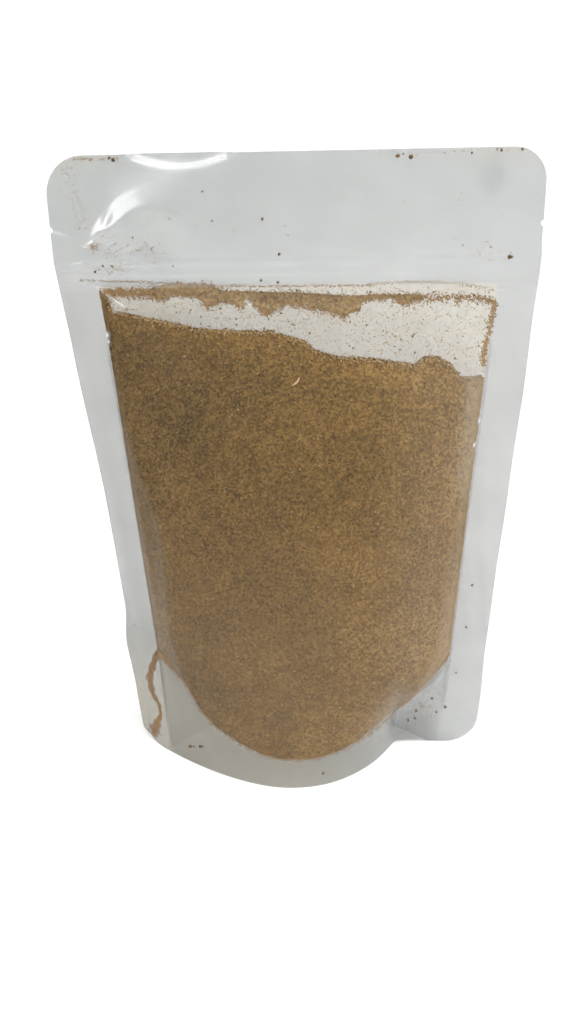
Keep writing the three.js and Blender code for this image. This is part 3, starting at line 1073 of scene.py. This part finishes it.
for kind, count, smallest, largest, material in (("dust", 3000, 0.2, 0.5, TAN_CRUMB),
                                                 ("specks", 170, 0.4, 0.8, DARK_SPECK)):
    x, z = chance.uniform(-55, 56, count), chance.uniform(138, 166, count)
    keep = (z > heap_line(x) + 0.3) & (np.abs(x) < inner_half(z) - 1)
    sizes = chance.uniform(smallest, largest, keep.sum())
    dusted(f"headspace_{kind}", x[keep], z[keep], sizes, material)
x, z = along(HEAP_LINE[1:], 1000, 0.45)
keep = np.abs(x) < inner_half(z) - 1.2
dusted("line_crumbs", x[keep], z[keep] - 0.3, chance.uniform(0.3, 0.65, keep.sum()), SHELL_FLAKE, DEEPER)
x, z = along(FOOT_LINE[1:-1], 1500, 0.4)
dusted("foot_crumbs", x, z + 0.1, chance.uniform(0.3, 0.7, 1500), TAN_CRUMB, DEEPER)
CORNER = [(-57, 165.6), (-50, 165.2), (-42, 165.3)]
dusted_line("corner_crumbs", CORNER, 420, 0.5, 0.3, 0.8, TAN_CRUMB)
for edge, count in ((BAND_LOW, 1500), (BAND_TOP, 700)):
    x = chance.uniform(-57, 57.6, count)
    z = np.interp(x, *zip(*edge)) + chance.normal(0, 0.5, count)
    dusted(f"band_crumbs_{count}", x, z, chance.uniform(0.2, 0.65, count), TAN_CRUMB)
ZIP_LINE = [(-63.7, 169), (-44.2, 168.2), (-27.8, 167.5), (-21.3, 166.9), (0, 166.6), (22.1, 166.7)]
dusted_line("zip_line_dust", ZIP_LINE, 760, 0.2, 0.2, 0.5, TAN_CRUMB)
RIGHT_EDGE = [(57.4, 161), (56.9, 157.5), (56, 152), (55.3, 149.3), (55, 143)]
dusted_line("right_edge_dust", RIGHT_EDGE, 460, 0.42, 0.25, 0.75, TAN_CRUMB)
ZIP_LINE_END = [(22.1, 166.9), (32, 167.4), (42, 167.3), (50, 166.4), (57, 165)]
dusted_line("zip_line_fines", ZIP_LINE_END, 420, 0.35, 0.15, 0.4, SHELL_FLAKE)

# x, z and size of each speck on the outside: at the top, and on the welds and the skirt
TOP_SPECKS = [
    (-9.1, 185.3, 0.9), (-4.5, 175.6, 0.9), (60.6, 174, 1.1), (61.3, 174.1, 0.8), (47.5, 177.4, 0.4),
    (55.3, 176.8, 0.4), (30.7, 189.5, 0.4), (28.7, 201.2, 1.2), (32.3, 200.9, 1.2), (30.2, 201.7, 0.5),
    (48.8, 201.6, 0.6), (56.8, 202.2, 0.8), (55.6, 202.4, 0.5), (62.4, 202.3, 0.8), (-25.8, 192.9, 0.5),
    (-23.4, 185, 0.5), (-35.3, 186, 0.4), (-2.7, 183.3, 0.4), (-1.9, 180.8, 0.4), (-46.4, 180.9, 0.5),
    (-58.4, 171.3, 0.7), (-55.9, 172.9, 0.6), (-53.2, 172.9, 0.6), (-35.4, 172.7, 0.5), (-34.2, 168.4, 0.5),
    (-9.9, 168.4, 0.8), (-5, 167.8, 0.8), (-50.4, 201.6, 1), (-51.4, 202.2, 0.6)]
LOW_CRUMBS = [
    (44.7, 25.1, 0.9), (50.3, 15.9, 1), (39.6, 18, 0.9), (39.6, 12.5, 0.8), (37.2, 11.3, 0.8),
    (41.5, 20.6, 0.6), (44.5, 19.5, 0.6), (47, 15.1, 0.8), (50.8, 36.9, 0.7), (53.2, 31.6, 0.6),
    (40.6, 23.5, 0.5), (56.5, 67.3, 0.8), (55.5, 50.8, 0.8), (-40.1, 7.2, 1.2), (-38.6, 7.9, 0.7),
    (-36, 9.3, 1.1), (-35, 9.6, 0.7), (7.2, 5.4, 0.9)]
SPECK_SCALE = 1.1
for name, specks, depth in (("top_specks", TOP_SPECKS, -0.06), ("low_crumbs", LOW_CRUMBS, -0.04)):
    x, z, sizes = np.array(specks).T
    dusted(name, x, z, SPECK_SCALE * sizes, BROWN_SPECK, depth)
# start and end, how many and how far spread: fine dust on the outside
CLOUDS = [
    ((-58.8, 178), (-57.8, 178.4), 55, 0.7), ((-58, 178), (-38, 177), 110, 2.2),
    ((-57, 171.8), (-48, 172), 60, 0.9), ((-62, 202), (-49, 202), 80, 0.35),
    ((-64, 200), (-60, 182), 70, 1.6), ((20, 202), (60, 202.2), 60, 0.5), ((-40, 186), (60, 186), 60, 7),
    ((38, 18), (48, 20), 60, 3.5), ((44, 176), (62, 175), 30, 2)]
for number, (start, end, count, spread) in enumerate(CLOUDS):
    x, z = along([start, end], count, spread)
    keep = (z < HEIGHT - 0.6) & (np.abs(x) < half_width(z) - 1)
    sizes = chance.uniform(0.15, 0.4, keep.sum())
    dusted(f"fine_dust_{number}", x[keep], z[keep], sizes, SHELL_FLAKE, -0.03)

# ------------------------------------------------
# Floor and backdrop: one wide sheet of matt white card, which sweeps up far behind. It isn't part of the
# object.
select_only()
bpy.ops.mesh.primitive_plane_add(size=7, location=(0, -0.5, 0))
floor = bpy.context.object
floor.name = floor.data.name = "floor"


def raise_far_edge():
    """Selects the edge far behind and pulls a new strip up from it."""
    bpy.ops.mesh.select_all(action="DESELECT")
    bpy.ops.object.mode_set(mode="OBJECT")
    for edge in floor.data.edges:
        edge.select = all(floor.data.vertices[end].co.y > 3 for end in edge.vertices)
    bpy.ops.object.mode_set(mode="EDIT")
    bpy.ops.mesh.extrude_region_move(TRANSFORM_OT_translate={"value": (0, 0.3, 2.5)})


edited(floor, lambda: bpy.ops.mesh.select_mode(type="EDGE"), raise_far_edge)
bpy.ops.object.transform_apply(location=True)
applied(floor, "BEVEL", width=0.8, segments=12, affect="EDGES")
smoothed(floor)
card, tree = new_material("white_card")
fibre = noise(tree, 30, 4)
shade = mixed(tree, fibre, srgb(244, 244, 243), srgb(247, 247, 246))
finished(tree, solid_face(tree, Base_Color=shade, Roughness=0.9, Specular_IOR_Level=0.1))
floor.data.materials.append(card)

# ------------------------------------------------
# Light: a pale room, a broad soft light from the right, and a lamp and a strip, which the buckle and the
# dish in the top edge reflect.
scene = bpy.context.scene
scene.view_settings.view_transform = "Standard"
scene.cycles.transparent_max_bounces = 32
room = bpy.data.worlds.new("pale_room")
scene.world = room
room.use_nodes = True
room.node_tree.nodes["Background"].inputs["Color"].default_value = (0.985, 0.99, 1, 1)
room.node_tree.nodes["Background"].inputs["Strength"].default_value = 0.5


def lit_from(name, kind, place, aim, energy, size):
    """A light at a place, aimed at a point. size is an angle for a sun, and two sides for a lamp."""
    lamp = bpy.data.lights.new(name, kind)
    lamp.energy = energy
    if kind == "SUN":
        lamp.angle = math.radians(size)
    else:
        lamp.shape = "RECTANGLE"
        lamp.size, lamp.size_y = size
    stand = bpy.data.objects.new(name, lamp)
    bpy.context.collection.objects.link(stand)
    stand.location = place
    stand.rotation_euler = (Vector(aim) - Vector(place)).to_track_quat("-Z", "Y").to_euler()


lit_from("window_light", "SUN", (0.78, -0.28, 0.62), (0, 0, 0), 3.4, 50)
lit_from("lamp", "AREA", (-0.62, -0.74, 0.54), (-0.05, 0, 0.19), 4.4, (0.44, 0.34))
lit_from("strip", "AREA", (-0.21, -0.39, 1.157), (-0.03, 0, 0.2), 8, (1, 0.34))

# ------------------------------------------------
# Camera: where the picture was taken from, close in front of the pouch and a little above its top edge,
# looking down at it.
CAMERA_AT = (0.01572, -0.27545, 0.22869)
YAW, PITCH, ROLL = -4.08, -26.03, -1.57
FOCAL_PIXELS, FRAME_HEIGHT = 951.1, 1024
camera = bpy.data.cameras.new("camera")
camera.lens = FOCAL_PIXELS / FRAME_HEIGHT * camera.sensor_width
camera.clip_start = 0.01
tripod = bpy.data.objects.new("camera", camera)
bpy.context.collection.objects.link(tripod)
aim = Matrix.Rotation(math.radians(-YAW), 4, "Z") @ Matrix.Rotation(math.radians(90 + PITCH), 4, "X")
tripod.matrix_world = Matrix.Translation(CAMERA_AT) @ aim @ Matrix.Rotation(math.radians(ROLL), 4, "Z")
scene.camera = tripod
